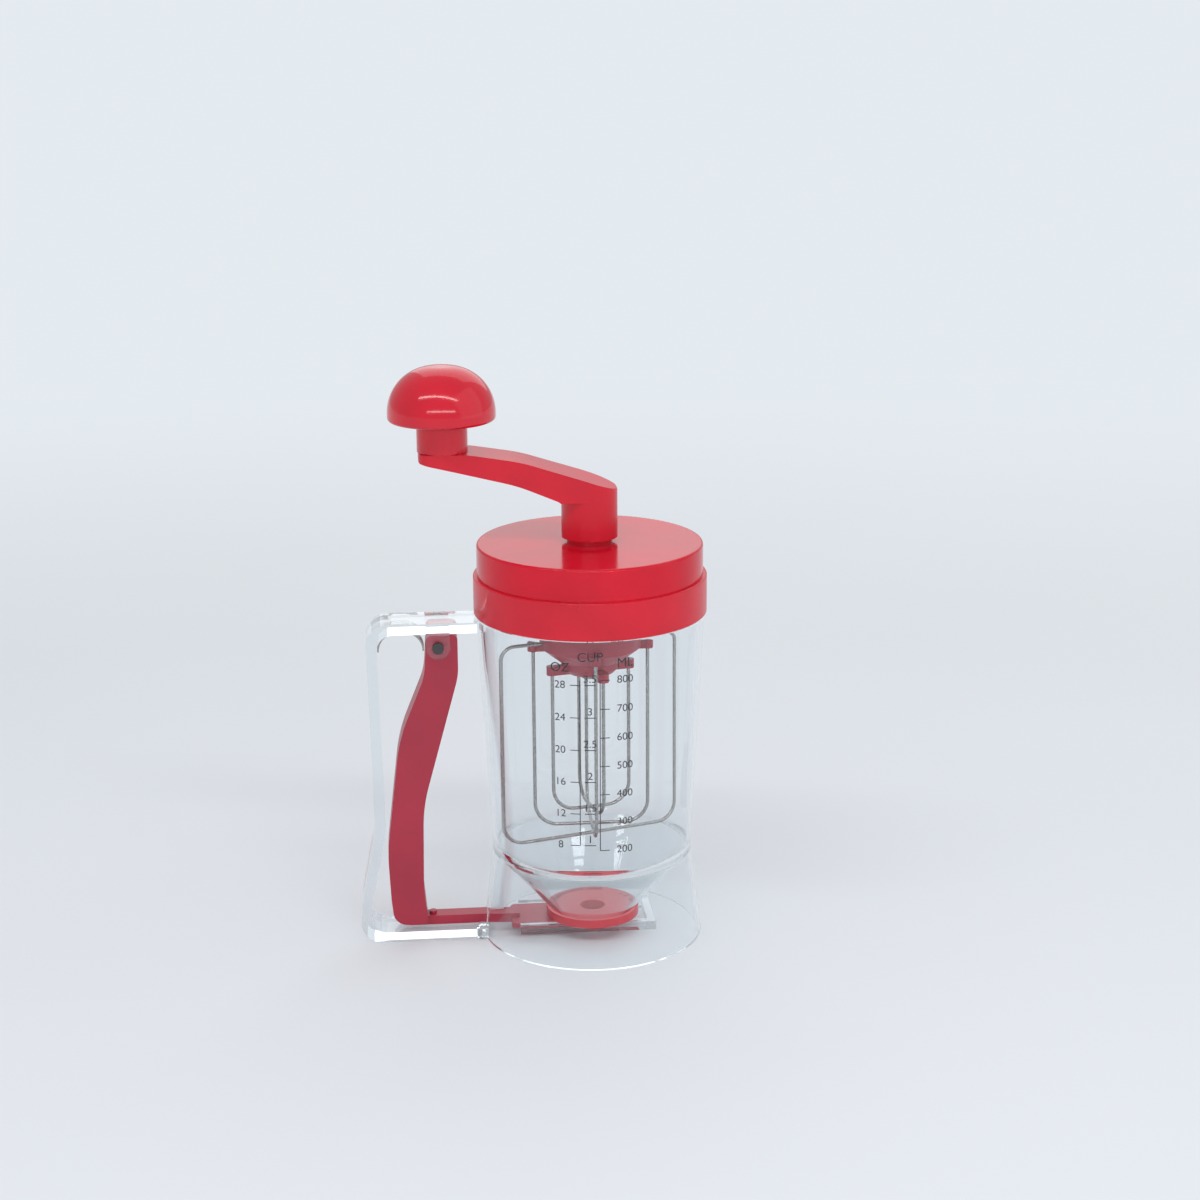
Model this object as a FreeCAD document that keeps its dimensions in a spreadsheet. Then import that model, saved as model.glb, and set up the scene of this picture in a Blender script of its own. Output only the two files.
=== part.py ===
import FreeCAD, Part

import math
import os

import Sketcher

# Batter dispenser: a clear jar with a squeeze handle, a sliding gate under its cone, and a
# lift-off lid whose crank turns two wire whisks in opposite directions.
# Millimetres. The jar's axis is Z, the base plane is z = 0 and the handle points to -X.
# The trigger is modelled squeezed and the gate open.

SIZES = {
    # Jar
    "skirt_foot_radius": 53.1,
    "waist_radius": 48.0,
    "waist_height": 46.0,
    "waist_bend": 60.0,
    "jar_top_radius": 54.2,
    "shoulder_height": 161.0,
    "jar_wall": 1.9,
    "neck_radius": 52.2,
    "neck_rise": 11.0,
    "cone_mouth_radius": 18.5,
    "cone_mouth_height": 12.4,
    "cone_rise": 33.0,
    "cone_corner_radius": 9.0,
    "rib_reach": 7.6,
    "rib_thickness": 2.0,
    # Outlet and gate
    "nozzle_radius": 22.4,
    "nozzle_thickness": 4.2,
    "outlet_radius": 6.0,
    "seal_radius": 9.5,
    "seal_groove": 1.6,
    "gate_thickness": 2.6,
    "gate_width": 24.0,
    "gate_nose": 12.0,
    "bar_height": 4.5,
    "bar_width": 8.0,
    "gate_travel": 13.0,
    "rail_width": 4.0,
    "rail_lip": 2.0,
    "rail_floor": 1.6,
    "slot_margin": 1.2,
    # Handle
    "handle_reach": 106.1,
    "handle_waist_inset": 1.7,
    "handle_waist_height": 56.0,
    "handle_flare_height": 22.0,
    "handle_flare_inset": 1.7,
    "handle_flare_bend": 50.0,
    "handle_foot_flare": 7.1,
    "handle_drop": 1.6,
    "handle_band": 5.0,
    "handle_depth": 21.0,
    "handle_bend": 10.0,
    "foot_bar": 5.0,
    # Trigger
    "pin_inset": 33.8,
    "pin_drop": 11.8,
    "pin_radius": 2.0,
    "pin_head_radius": 2.7,
    "pin_head_rise": 1.2,
    "ear_thickness": 2.2,
    "ear_radius": 5.6,
    "lever_depth": 14.6,
    "lever_head_radius": 5.4,
    "lever_width": 16.8,
    "lever_hook_gap": 1.0,
    "lever_foot_rise": 1.6,
    "lever_nose_reach": 9.2,
    "lever_rest_gap": 0.6,
    "lever_bend": 80.0,
    "stud_radius": 1.8,
    "stud_height": 1.4,
    "spring_leaf": 0.8,
    "spring_width": 7.0,
    "spring_bend": 9.2,
    # Lid
    "lid_radius": 55.0,
    "lid_skirt_height": 17.7,
    "lid_lift_gap": 0.7,
    "web_inner_radius": 48.5,
    "seal_height": 2.0,
    "cap_radius": 53.2,
    "cap_height": 15.1,
    "cap_wall": 2.4,
    "cap_edge": 1.3,
    "floor_thickness": 2.6,
    "floor_collar_radius": 12.0,
    "floor_collar_rise": 0.5,
    "bush_radius": 7.0,
    "bush_flange_radius": 10.6,
    "bush_flange": 2.6,
    # Crank
    "shaft_radius": 4.0,
    "hub_radius": 13.1,
    "hub_height": 23.2,
    "hub_edge": 2.5,
    "hub_top_edge": 1.4,
    "arm_reach": 67.8,
    "arm_boss_radius": 11.3,
    "arm_tip": 4.0,
    "arm_middle": 11.0,
    "arm_swell": 5.6,
    "arm_bend": 80.0,
    "hub_flank": 18.5,
    "arm_rise": 42.25,
    "arm_edge": 1.2,
    "knob_radius": 25.0,
    "knob_shank_radius": 11.8,
    "knob_shank_height": 14.4,
    "knob_rim": 1.8,
    "axle_radius": 3.0,
    "axle_head_radius": 5.5,
    "axle_head": 3.0,
    "axle_grip": 6.0,
    # Gears
    "gear_module": 1.0,
    "sun_teeth": 12,
    "planet_teeth": 12,
    "gear_face": 6.6,
    "tooth_addendum": 0.65,
    "tooth_dedendum": 0.95,
    "tooth_backlash": 0.3,
    "ring_wall": 2.4,
    "ring_floor": 2.0,
    "planet_pin_radius": 2.0,
    "plate_thickness": 2.4,
    "pillar_radius": 2.6,
    # Whisks
    "drum_radius": 24.0,
    "drum_wall": 2.4,
    "drum_bottom": 138.4,
    "drum_taper": 6.4,
    "drum_taper_inset": 8.0,
    "outer_wire_reach": 27.2,
    "boss_radius": 2.7,
    "boss_height": 4.2,
    "outer_boss_bottom": 142.6,
    "inner_hub_radius": 13.5,
    "inner_hub_height": 6.4,
    "inner_wire_reach": 19.0,
    "whisk_wire_radius": 0.85,
    "whisk_corner": 11.0,
    "outer_wire_bottom": 54.5,
    "inner_wire_bottom": 63.0,
    "scraper_reach": 44.6,
    "scraper_top": 148.2,
    "scraper_bottom": 49.6,
    "scraper_corner": 6.5,
    "screw_head_radius": 4.6,
    "screw_head": 2.8,
    # Fits
    "running_fit": 0.06,
    "seat_gap": 0.05,
    "side_gap": 0.35,
}
PLANETS = 3
WHISK_ARMS = 4
PLATE_PILLARS = 3
SCRAPER_TURN = 18.0
INNER_WHISK_TURN = 13.0

doc = FreeCAD.newDocument("batter_dispenser")
sheet = doc.addObject("Spreadsheet::Sheet", "sizes")
for row, (alias, number) in enumerate(SIZES.items(), start=1):
    sheet.set(f"A{row}", alias.replace("_", " "))
    sheet.set(f"B{row}", str(number))
    sheet.setAlias(f"B{row}", alias)
doc.recompute()


class Size:
    """A sheet formula together with its present value."""

    def __init__(self, text, number):
        self.text = text
        self.number = number

    def joined(self, sign, other, number):
        return Size(f"({self.text} {sign} {other.text})", number)

    def __add__(self, other):
        other = as_size(other)
        return self.joined("+", other, self.number + other.number)

    def __sub__(self, other):
        other = as_size(other)
        return self.joined("-", other, self.number - other.number)

    def __mul__(self, other):
        other = as_size(other)
        return self.joined("*", other, self.number * other.number)

    def __truediv__(self, other):
        other = as_size(other)
        return self.joined("/", other, self.number / other.number)

    def __radd__(self, other):
        return as_size(other) + self

    def __rsub__(self, other):
        return as_size(other) - self

    def __rmul__(self, other):
        return as_size(other) * self

    def __neg__(self):
        return Size(f"(0 - {self.text})", -self.number)


def as_size(entry):
    if isinstance(entry, Size):
        return entry
    return Size(repr(float(entry)), float(entry))


def root_of(size):
    return Size(f"sqrt({size.text})", math.sqrt(size.number))


def given(alias):
    return Size(f"sizes.{alias}", float(sheet.get(alias)))


class Given:
    """Reads a named size from the sheet."""

    def __getattr__(self, alias):
        return given(alias)


g = Given()
ZERO = as_size(0)


# Sketch and feature helpers

def bind(owner, prop, size):
    size = as_size(size)
    owner.setExpression(prop, size.text)


def new_body(label):
    body = doc.addObject("PartDesign::Body", label)
    body.Label = label
    return body


def new_sketch(body, name, plane="XZ_Plane", lift=None):
    sketch = body.newObject("Sketcher::SketchObject", f"{body.Name}_{name}")
    support = [entry for entry in body.Origin.OriginFeatures if entry.Role == plane][0]
    sketch.AttachmentSupport = [(support, "")]
    sketch.MapMode = "FlatFace"
    if lift is not None:
        sketch.AttachmentOffset = FreeCAD.Placement(
            FreeCAD.Vector(0, 0, lift.number), FreeCAD.Rotation()
        )
        bind(sketch, "AttachmentOffset.Base.z", lift)
    return sketch


def fix(sketch, kind, where, size):
    """Adds a driven constraint bound to its sheet formula."""
    number = size.number
    index = sketch.addConstraint(Sketcher.Constraint(kind, *where, number))
    sketch.setExpression(f"Constraints[{index}]", size.text)


def place_point(sketch, geometry, end, spot):
    across, up = spot
    fix(sketch, "DistanceX", (-1, 1, geometry, end), across)
    fix(sketch, "DistanceY", (-1, 1, geometry, end), up)


def add_circle(sketch, across, up, radius):
    across, up, radius = as_size(across), as_size(up), as_size(radius)
    centre = FreeCAD.Vector(across.number, up.number, 0)
    circle = sketch.addGeometry(Part.Circle(centre, FreeCAD.Vector(0, 0, 1), radius.number))
    fix(sketch, "Radius", (circle,), radius)
    place_point(sketch, circle, 3, (across, up))


def corner_arc(before, at, after, radius):
    """Returns the two tangent points, the arc that rounds one corner, and whether it turns left."""
    back = (before - at).normalize()
    ahead = (after - at).normalize()
    half = math.acos(max(-1.0, min(1.0, back.dot(ahead)))) / 2
    reach = radius / math.tan(half)
    start = at + back * reach
    end = at + ahead * reach
    centre = at + (back + ahead).normalize() * (radius / math.sin(half))
    turns_left = back.cross(ahead).z < 0
    first, last = (start, end) if turns_left else (end, start)
    first_angle = math.atan2(first.y - centre.y, first.x - centre.x)
    last_angle = math.atan2(last.y - centre.y, last.x - centre.x)
    circle = Part.Circle(centre, FreeCAD.Vector(0, 0, 1), radius)
    return start, end, Part.ArcOfCircle(circle, first_angle, last_angle), turns_left


def add_outline(sketch, corners, closed=True):
    """Draws lines through corners of (across, up) or (across, up, radius), rounded where asked."""
    spots = []
    rounds = []
    for corner in corners:
        spots.append((as_size(corner[0]), as_size(corner[1])))
        rounds.append(as_size(corner[2]) if len(corner) > 2 else None)
    count = len(spots)
    points = [FreeCAD.Vector(across.number, up.number, 0) for across, up in spots]
    starts = list(points)
    ends = list(points)
    arcs = {}
    for index, radius in enumerate(rounds):
        if radius is None:
            continue
        before = points[index - 1]
        after = points[(index + 1) % count]
        starts[index], ends[index], arc, turns_left = corner_arc(
            before, points[index], after, radius.number
        )
        arcs[index] = (sketch.addGeometry(arc), turns_left)
    lines = {}
    for index in range(count if closed else count - 1):
        following = (index + 1) % count
        lines[index] = sketch.addGeometry(Part.LineSegment(ends[index], starts[following]))
    for index in range(count):
        into = lines.get((index - 1) % count) if closed or index > 0 else None
        out = lines.get(index)
        if index not in arcs:
            if into is not None and out is not None:
                sketch.addConstraint(Sketcher.Constraint("Coincident", into, 2, out, 1))
            if out is not None:
                place_point(sketch, out, 1, spots[index])
            else:
                place_point(sketch, into, 2, spots[index])
            continue
        arc, turns_left = arcs[index]
        corner = sketch.addGeometry(Part.Point(points[index]), True)
        place_point(sketch, corner, 1, spots[index])
        sketch.addConstraint(Sketcher.Constraint("PointOnObject", corner, 1, into))
        sketch.addConstraint(Sketcher.Constraint("PointOnObject", corner, 1, out))
        arc_in, arc_out = (1, 2) if turns_left else (2, 1)
        sketch.addConstraint(Sketcher.Constraint("Tangent", into, 2, arc, arc_in))
        sketch.addConstraint(Sketcher.Constraint("Tangent", out, 1, arc, arc_out))
        fix(sketch, "Radius", (arc,), rounds[index])
    return sketch


def revolve(body, name, corners, cut=False):
    sketch = add_outline(new_sketch(body, f"{name}_profile"), corners)
    kind = "PartDesign::Groove" if cut else "PartDesign::Revolution"
    feature = body.newObject(kind, f"{body.Name}_{name}")
    feature.Profile = sketch
    feature.ReferenceAxis = (sketch, ["V_Axis"])
    feature.Angle = 360
    body.Tip = feature
    return feature


def extrude(body, name, sketch, length, cut=False, symmetric=False, reverse=False):
    kind = "PartDesign::Pocket" if cut else "PartDesign::Pad"
    feature = body.newObject(kind, f"{body.Name}_{name}")
    feature.Profile = sketch
    bind(feature, "Length", length)
    if symmetric:
        feature.SideType = "Symmetric"
    feature.Reversed = reverse
    body.Tip = feature
    return feature


def slab(body, name, corners, depth, cut=False):
    """A side outline in the XZ plane, drawn out equally to both sides."""
    sketch = add_outline(new_sketch(body, f"{name}_outline"), corners)
    return extrude(body, name, sketch, depth, cut=cut, symmetric=True)


def cross_hole(body, name, across, up, radius, depth, cut=True):
    """A round hole or boss along Y."""
    sketch = new_sketch(body, f"{name}_circle")
    add_circle(sketch, across, up, radius)
    return extrude(body, name, sketch, depth, cut=cut, symmetric=True)


def plan(body, name, corners, bottom, height, cut=False):
    """A plan outline raised from bottom by height."""
    sketch = add_outline(new_sketch(body, f"{name}_plan", "XY_Plane", bottom), corners)
    return extrude(body, name, sketch, height, cut=cut, reverse=cut)


def plan_circle(body, name, across, along, radius, bottom, height, cut=False):
    sketch = new_sketch(body, f"{name}_plan", "XY_Plane", bottom)
    add_circle(sketch, across, along, radius)
    return extrude(body, name, sketch, height, cut=cut, reverse=cut)


def box_corners(west, east, south, north):
    return [(west, south), (east, south), (east, north), (west, north)]


def around(body, name, features, count, sweep=360):
    """Repeats features about the Z axis."""
    pattern = body.newObject("PartDesign::PolarPattern", f"{body.Name}_{name}")
    pattern.Originals = features
    axis = [entry for entry in body.Origin.OriginFeatures if entry.Role == "Z_Axis"][0]
    pattern.Axis = (axis, [""])
    pattern.Angle = sweep
    if isinstance(count, Size):
        bind(pattern, "Occurrences", count)
    else:
        pattern.Occurrences = int(count)
    body.Tip = pattern
    return pattern


def turn_body(body, degrees):
    body.Placement = FreeCAD.Placement(
        FreeCAD.Vector(0, 0, 0), FreeCAD.Rotation(FreeCAD.Vector(0, 0, 1), degrees)
    )


def wire_run(body, name, corners, radius):
    """A round wire swept along a path in the XZ plane that starts vertically or along X."""
    path = add_outline(new_sketch(body, f"{name}_path"), corners, closed=False)
    first, second = corners[0], corners[1]
    starts_level = abs(as_size(first[1]).number - as_size(second[1]).number) < 1e-9
    plane = "YZ_Plane" if starts_level else "XY_Plane"
    lift = as_size(first[0]) if starts_level else as_size(first[1])
    section = new_sketch(body, f"{name}_section", plane, lift)
    if starts_level:
        add_circle(section, 0, first[1], radius)
    else:
        add_circle(section, first[0], 0, radius)
    pipe = body.newObject("PartDesign::AdditivePipe", f"{body.Name}_{name}")
    pipe.Profile = section
    pipe.Spine = (path, [])
    body.Tip = pipe
    return pipe


# Heights that several pieces share

neck_top = g.shoulder_height + g.neck_rise
lid_bottom = g.shoulder_height + g.lid_lift_gap
lid_step = lid_bottom + g.lid_skirt_height
cap_top = lid_step + g.cap_height
web_bottom = neck_top + g.seat_gap + g.seal_height
floor_top = web_bottom + g.floor_thickness
ring_bottom = floor_top + g.floor_collar_rise + g.seat_gap
gear_bottom = ring_bottom + g.ring_floor + g.side_gap
gear_top = gear_bottom + g.gear_face
plate_bottom = gear_top + g.side_gap
plate_top = plate_bottom + g.plate_thickness
cap_ceiling = cap_top - g.cap_wall
hub_bottom = cap_top + g.bush_flange + g.seat_gap
hub_top = hub_bottom + g.hub_height
arm_end_top = hub_bottom + g.arm_rise
nozzle_bottom = g.cone_mouth_height - g.nozzle_thickness
gate_root_reach = g.nozzle_radius + g.gate_travel + g.side_gap
gate_top = nozzle_bottom - g.seat_gap
gate_bottom = gate_top - g.gate_thickness
bar_top = gate_bottom + g.bar_height
inner_hub_top = g.drum_bottom - g.side_gap
inner_hub_bottom = inner_hub_top - g.inner_hub_height
handle_top = g.shoulder_height - g.handle_drop
handle_waist = g.handle_reach - g.handle_waist_inset
handle_foot = g.handle_reach + g.handle_foot_flare
pin_reach = g.handle_reach - g.pin_inset
pin_height = handle_top - g.pin_drop
lever_back = handle_waist - g.handle_band - g.lever_rest_gap - g.lever_width
planet_circle = g.gear_module * (g.sun_teeth + g.planet_teeth) / 2
ring_teeth = g.sun_teeth + g.planet_teeth * 2
handle_inside = g.handle_depth / 2 - g.ear_thickness


# Jar

def jar_outside(grow):
    """The jar's outer side from the foot to the shoulder, as (radius, height) corners."""
    return [
        (g.skirt_foot_radius + grow, ZERO),
        (g.waist_radius + grow, g.waist_height, g.waist_bend),
        (g.jar_top_radius + grow, g.shoulder_height),
    ]


def make_jar():
    body = new_body("jar_body")
    cone_run = g.waist_radius - g.jar_wall - g.cone_mouth_radius
    cone_top = g.cone_mouth_height + g.cone_rise
    slant = root_of(g.cone_rise * g.cone_rise + cone_run * cone_run)
    wall_across = g.jar_wall * slant / g.cone_rise
    wall_down = g.jar_wall * slant / cone_run
    skirt_inside = g.skirt_foot_radius - g.jar_wall
    corners = jar_outside(ZERO) + [
        (g.neck_radius, g.shoulder_height),
        (g.neck_radius, neck_top),
        (g.neck_radius - g.jar_wall, neck_top),
        (g.neck_radius - g.jar_wall, g.shoulder_height - g.jar_wall),
        (g.waist_radius - g.jar_wall, cone_top, g.cone_corner_radius),
        (g.cone_mouth_radius, g.cone_mouth_height),
        (g.cone_mouth_radius + wall_across, g.cone_mouth_height),
        (g.waist_radius - g.jar_wall, cone_top - wall_down),
        (skirt_inside, ZERO),
    ]
    revolve(body, "shell", corners)
    slot_bottom = gate_bottom - g.slot_margin
    slot_half = g.bar_width / 2 + g.slot_margin
    slot = box_corners(-(g.skirt_foot_radius + g.jar_wall), -(g.cone_mouth_radius + g.rail_width * 3),
                       -slot_half, slot_half)
    slot_top = bar_top + g.slot_margin
    plan(body, "slot", slot, slot_bottom, slot_top - slot_bottom, cut=True)
    lean = (g.skirt_foot_radius - g.waist_radius) / g.waist_height
    rib_outer = g.skirt_foot_radius - g.jar_wall / 2 - lean * slot_top
    rib_inner = rib_outer - g.rib_reach
    cone_run_at_rib = rib_inner - g.cone_mouth_radius - wall_across / 2
    slab(body, "rib", [
        (-rib_outer, slot_top),
        (-(g.waist_radius - g.jar_wall / 2), cone_top - wall_down),
        (-rib_inner, g.cone_mouth_height + g.cone_rise * cone_run_at_rib / cone_run),
        (-rib_inner, slot_top),
    ], g.rib_thickness)
    return body


def make_nozzle_plate():
    body = new_body("nozzle_plate")
    groove_top = nozzle_bottom + g.seal_groove
    revolve(body, "plate", [
        (g.outlet_radius, nozzle_bottom),
        (g.outlet_radius + g.jar_wall, nozzle_bottom),
        (g.outlet_radius + g.jar_wall, groove_top),
        (g.seal_radius, groove_top),
        (g.seal_radius, nozzle_bottom),
        (g.nozzle_radius, nozzle_bottom),
        (g.nozzle_radius, g.cone_mouth_height),
        (g.outlet_radius, g.cone_mouth_height),
    ])
    return body


def make_nozzle_seal():
    body = new_body("nozzle_seal")
    revolve(body, "ring", [
        (g.outlet_radius + g.jar_wall, nozzle_bottom),
        (g.seal_radius, nozzle_bottom),
        (g.seal_radius, nozzle_bottom + g.seal_groove),
        (g.outlet_radius + g.jar_wall, nozzle_bottom + g.seal_groove),
    ])
    return body


def make_gate_guide():
    body = new_body("gate_guide")
    inner = g.gate_width / 2 + g.side_gap
    outer = inner + g.rail_width
    west = -gate_root_reach
    east = g.gate_nose + g.gate_travel + g.side_gap
    lip_top = gate_bottom - g.seat_gap
    lip_inner = inner - g.rail_lip - g.side_gap
    for name, sign in (("north", 1), ("south", -1)):
        plan(body, f"{name}_lip", box_corners(west, east, lip_inner * sign, outer * sign),
             lip_top - g.rail_floor, g.rail_floor)
        plan(body, f"{name}_rail", box_corners(west, east, inner * sign, outer * sign),
             lip_top, nozzle_bottom - lip_top)
    plan(body, "bridge", box_corners(east, east + g.rail_width, -outer, outer),
         lip_top - g.rail_floor, nozzle_bottom - lip_top + g.rail_floor)
    return body


# Handle and trigger

def make_handle():
    body = new_body("handle_frame")
    band = g.handle_band
    inner_bend = g.handle_bend - g.foot_bar / 2
    root = g.waist_radius
    flare_reach = handle_foot - g.handle_flare_inset
    outside = [
        (-root, handle_top),
        (-g.handle_reach, handle_top, g.handle_bend),
        (-handle_waist, g.handle_waist_height, g.handle_flare_bend),
        (-flare_reach, g.handle_flare_height, g.handle_flare_bend),
        (-handle_foot, ZERO, g.handle_bend),
        (-root, ZERO),
    ]
    inside = [
        (-root, g.foot_bar),
        (-(handle_foot - band), g.foot_bar, inner_bend),
        (-(flare_reach - band), g.handle_flare_height, g.handle_flare_bend),
        (-(handle_waist - band), g.handle_waist_height, g.handle_flare_bend),
        (-(g.handle_reach - band), handle_top - band, g.handle_bend - band / 2),
        (-root, handle_top - band),
    ]
    slab(body, "band", outside + inside, g.handle_depth)
    ear_top = handle_top - band / 2
    ear = [
        (-(pin_reach + g.ear_radius), ear_top),
        (-(pin_reach + g.ear_radius), pin_height - g.ear_radius, g.ear_radius * 0.96),
        (-(pin_reach - g.ear_radius), pin_height - g.ear_radius, g.ear_radius * 0.96),
        (-(pin_reach - g.ear_radius), ear_top),
    ]
    slab(body, "ears", ear, g.handle_depth)
    slab(body, "ear_gap", [
        (-(pin_reach + g.ear_radius * 1.2), handle_top - band),
        (-(pin_reach + g.ear_radius * 1.2), pin_height - g.ear_radius * 1.2),
        (-(pin_reach - g.ear_radius * 1.2), pin_height - g.ear_radius * 1.2),
        (-(pin_reach - g.ear_radius * 1.2), handle_top - band),
    ], handle_inside * 2, cut=True)
    cross_hole(body, "pin_hole", -pin_reach, pin_height, g.pin_radius, g.handle_depth * 1.2)
    jar_side = jar_outside(g.seat_gap)
    revolve(body, "jar_seat", jar_side + [(ZERO, g.shoulder_height), (ZERO, ZERO)], cut=True)
    return body


def make_trigger_pin():
    body = new_body("trigger_pin")
    cross_hole(body, "stem", -pin_reach, pin_height, g.pin_radius, g.handle_depth, cut=False)
    for name, side in (("front", 1), ("back", -1)):
        sketch = new_sketch(body, f"{name}_head_circle", lift=g.handle_depth / 2 * side)
        add_circle(sketch, -pin_reach, pin_height, g.pin_head_radius)
        extrude(body, f"{name}_head", sketch, g.pin_head_rise, reverse=side < 0)
    return body


lever_foot = gate_bottom + g.lever_foot_rise
lever_toe_reach = lever_back - g.lever_width * 0.1
stud_reach = lever_toe_reach - g.stud_radius - g.side_gap * 2


def make_trigger_lever():
    body = new_body("trigger_lever")
    back = lever_back
    palm = lever_back + g.lever_width
    head_west = pin_reach + g.lever_head_radius
    head_east = pin_reach - g.lever_nose_reach
    head_top = pin_height + g.lever_head_radius
    bend = g.lever_bend
    slab(body, "grip", [
        (-head_west, head_top, g.lever_head_radius / 2),
        (-(head_west + g.lever_width * 0.08), pin_height * 0.9, bend * 0.4),
        (-(palm - g.lever_width * 0.42), pin_height * 0.69, bend),
        (-palm, pin_height * 0.3, bend),
        (-(palm - g.lever_width * 0.06), pin_height * 0.14, bend * 0.2),
        (-(palm - g.lever_width * 0.14), lever_foot, g.lever_width * 0.42),
        (-lever_toe_reach, lever_foot, g.lever_width * 0.1),
        (-back, pin_height * 0.18, bend * 0.5),
        (-(back - g.lever_width * 0.05), pin_height * 0.46, bend),
        (-head_east, pin_height * 0.9, bend * 0.4),
        (-head_east, head_top, g.lever_head_radius / 2),
    ], g.lever_depth)
    fork_top = bar_top + g.stud_height + g.lever_hook_gap
    slab(body, "fork", [
        (-(palm + back), lever_foot - g.lever_width),
        (-(back - g.lever_width), lever_foot - g.lever_width),
        (-(back - g.lever_width), fork_top),
        (-(palm + back), fork_top),
    ], g.bar_width + g.side_gap * 2, cut=True)
    cross_hole(body, "pin_bore", -pin_reach, pin_height, g.pin_radius + g.running_fit,
               g.lever_depth * 1.2)
    return body


def make_return_spring():
    body = new_body("return_spring")
    leaf = g.spring_leaf
    gap = g.side_gap
    west = g.handle_reach - g.handle_band - gap
    east = pin_reach + g.lever_head_radius + gap * 3
    top = handle_top - g.handle_band - gap
    low = pin_height - g.lever_head_radius * 0.6
    bend = g.spring_bend
    slab(body, "leaf", [
        (-west, low),
        (-west, top, bend),
        (-east, top, bend),
        (-east, low),
        (-(east + leaf), low),
        (-(east + leaf), top - leaf, bend - leaf),
        (-(west - leaf), top - leaf, bend - leaf),
        (-(west - leaf), low),
    ], g.spring_width)
    return body


def make_gate_slide():
    body = new_body("gate_slide")
    half = g.gate_width / 2
    bar_half = g.bar_width / 2
    blade_west = gate_root_reach + g.rail_width
    bar_west = lever_back + g.lever_width * 0.5
    plan(body, "blade", [
        (-blade_west, -half, g.bar_width / 3),
        (g.gate_nose, -half, half / 2),
        (g.gate_nose, half, half / 2),
        (-blade_west, half, g.bar_width / 3),
    ], gate_bottom, g.gate_thickness)
    plan_circle(body, "outlet", 0, 0, g.outlet_radius, gate_bottom, g.gate_thickness, cut=True)
    plan(body, "root", box_corners(-blade_west, -gate_root_reach, -bar_half, bar_half),
         gate_bottom, bar_top - gate_bottom)
    plan(body, "bar", [
        (-bar_west, -bar_half, g.bar_width / 4),
        (-gate_root_reach, -bar_half),
        (-gate_root_reach, bar_half),
        (-bar_west, bar_half, g.bar_width / 4),
    ], gate_bottom, g.bar_height)
    plan_circle(body, "stud", -stud_reach, 0, g.stud_radius, bar_top, g.stud_height)
    return body


# Lid

def make_lid_ring():
    body = new_body("lid_ring")
    bore = g.neck_radius + g.running_fit
    revolve(body, "ring", [
        (bore, lid_bottom),
        (g.lid_radius, lid_bottom),
        (g.lid_radius, lid_step, g.cap_edge / 2),
        (g.web_inner_radius, lid_step),
        (g.web_inner_radius, web_bottom),
        (bore, web_bottom),
    ])
    return body


def make_lid_seal():
    body = new_body("lid_seal")
    revolve(body, "ring", [
        (g.web_inner_radius, neck_top + g.seat_gap),
        (g.neck_radius, neck_top + g.seat_gap),
        (g.neck_radius, web_bottom),
        (g.web_inner_radius, web_bottom),
    ])
    return body


def make_lid_cap():
    body = new_body("lid_cap")
    revolve(body, "shell", [
        (g.cap_radius - g.cap_wall, lid_step),
        (g.cap_radius, lid_step),
        (g.cap_radius, cap_top, g.cap_edge),
        (g.bush_radius, cap_top),
        (g.bush_radius, cap_ceiling),
        (g.cap_radius - g.cap_wall, cap_ceiling),
    ])
    return body


def make_lid_floor():
    body = new_body("lid_floor")
    bore = g.shaft_radius + g.running_fit + g.ring_wall + g.running_fit
    revolve(body, "disc", [
        (bore, web_bottom),
        (g.web_inner_radius, web_bottom),
        (g.web_inner_radius, floor_top),
        (g.floor_collar_radius, floor_top),
        (g.floor_collar_radius, floor_top + g.floor_collar_rise),
        (bore, floor_top + g.floor_collar_rise),
    ])
    return body


def make_gear_plate():
    body = new_body("gear_plate")
    reach = planet_circle + g.planet_pin_radius * 3
    revolve(body, "disc", [
        (g.shaft_radius + g.side_gap, plate_bottom),
        (reach, plate_bottom),
        (reach, plate_top),
        (g.shaft_radius + g.side_gap, plate_top),
    ])
    pillar = plan_circle(body, "pillar", -planet_circle, 0, g.pillar_radius, plate_top,
                         cap_ceiling - plate_top)
    around(body, "pillars", [pillar], PLATE_PILLARS)
    hole = plan_circle(body, "pin_hole", planet_circle, 0, g.planet_pin_radius, plate_bottom,
                       g.plate_thickness, cut=True)
    around(body, "pin_holes", [hole], PLANETS)
    return body


def make_planet_pin(index):
    """One planet's pin, standing on the gear plate's circle of planets."""
    body = new_body(f"planet_pin_{index}")
    plan_circle(body, "stem", planet_circle, 0, g.planet_pin_radius, gear_bottom,
                plate_top - gear_bottom)
    turn_body(body, 360.0 / PLANETS * (index - 1))
    return body


def make_shaft_bush():
    body = new_body("shaft_bush")
    bore = g.shaft_radius + g.running_fit
    revolve(body, "sleeve", [
        (bore, cap_ceiling),
        (g.bush_radius, cap_ceiling),
        (g.bush_radius, cap_top),
        (g.bush_flange_radius, cap_top),
        (g.bush_flange_radius, cap_top + g.bush_flange),
        (bore, cap_top + g.bush_flange),
    ])
    return body


# Crank and knob

shaft_top = hub_bottom + g.hub_height * 0.6


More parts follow.
